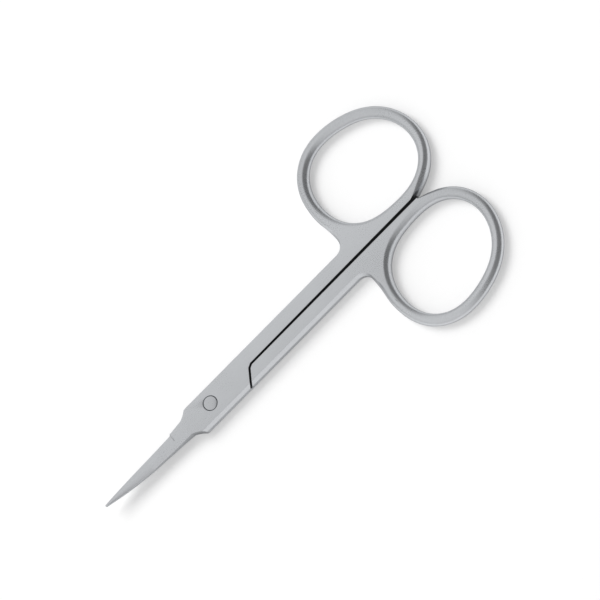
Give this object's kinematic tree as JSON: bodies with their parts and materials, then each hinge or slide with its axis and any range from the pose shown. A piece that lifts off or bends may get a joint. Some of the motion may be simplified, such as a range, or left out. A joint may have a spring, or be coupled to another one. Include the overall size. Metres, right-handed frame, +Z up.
{
  "type": "cuticle scissors",
  "caption": "Small satin steel scissors with fine upward-curving blades, slim lapped shanks, oval finger rings and a flush pivot rivet, for trimming cuticles and nails.",
  "frame": {"origin": "on the pivot axis, at the level of the flat underside", "axes": "+X from the pivot towards the finger rings, +Y towards the front half's ring, +Z up along the pivot, away from the flat underside"},
  "size_m": [0.0897, 0.0461, 0.004],
  "materials": {
    "satin_steel": "fine satin, bead blasted, with plain bare edges",
    "rivet_steel": "ground flush and finished with the faces around it"
  },
  "bodies": {
    "rear_body": {"rear_half": "satin_steel", "pivot_rivet": "rivet_steel"},
    "front_body": {"front_half": "satin_steel"}
  },
  "joints": [
    {"name": "pivot_turn", "type": "hinge", "parent": "rear_body", "child": "front_body", "pos_m": [0, 0, 0], "axis": [0, 0, 1], "range_deg": [0, 145]}
  ]
}
